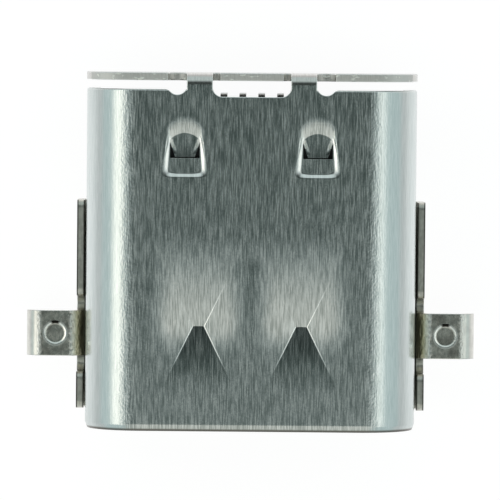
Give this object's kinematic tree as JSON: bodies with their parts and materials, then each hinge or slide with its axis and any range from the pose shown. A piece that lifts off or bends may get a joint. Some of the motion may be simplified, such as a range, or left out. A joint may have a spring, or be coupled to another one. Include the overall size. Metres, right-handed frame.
{
  "type": "usb-c socket",
  "caption": "Mid-mount board socket for a reversible plug: folded steel shell with dents, locking pockets and a rear cover, on a bracket whose ears bend down into board legs.",
  "frame": {"origin": "centre of the plug mouth, in the mouth's plane", "axes": "-Y leaves the mouth, so the plug goes in along +Y; +Z points away from the board; +X is across the socket"},
  "size_m": [0.012, 0.0094, 0.0032],
  "materials": {
    "stainless_shell": "brushed along the plug direction, coined mouth edge",
    "stainless_bracket": "rolled sheet, sheared edges",
    "moulded_housing": "moulded glass-filled polymer",
    "moulded_carrier": "moulded glass-filled polymer",
    "stainless_latch": "bright rolled sheet",
    "stainless_collar": "bright rolled sheet",
    "gold_plated_contact": "gold-plated copper alloy"
  },
  "bodies": {
    "root": {"shell": "stainless_shell", "bracket": "stainless_bracket", "housing": "moulded_housing", "upper_carrier": "moulded_carrier", "lower_carrier": "moulded_carrier", "latch_plate": "stainless_latch", "upper_collar": "stainless_collar", "lower_collar": "stainless_collar", "contact_a01": "gold_plated_contact", "contact_a02": "gold_plated_contact", "contact_a03": "gold_plated_contact", "contact_a04": "gold_plated_contact", "contact_a05": "gold_plated_contact", "contact_a06": "gold_plated_contact", "contact_a07": "gold_plated_contact", "contact_a08": "gold_plated_contact", "contact_a09": "gold_plated_contact", "contact_a10": "gold_plated_contact", "contact_a11": "gold_plated_contact", "contact_a12": "gold_plated_contact", "contact_b01": "gold_plated_contact", "contact_b02": "gold_plated_contact", "contact_b03": "gold_plated_contact", "contact_b04": "gold_plated_contact", "contact_b05": "gold_plated_contact", "contact_b06": "gold_plated_contact", "contact_b07": "gold_plated_contact", "contact_b08": "gold_plated_contact", "contact_b09": "gold_plated_contact", "contact_b10": "gold_plated_contact", "contact_b11": "gold_plated_contact", "contact_b12": "gold_plated_contact"}
  },
  "joints": []
}
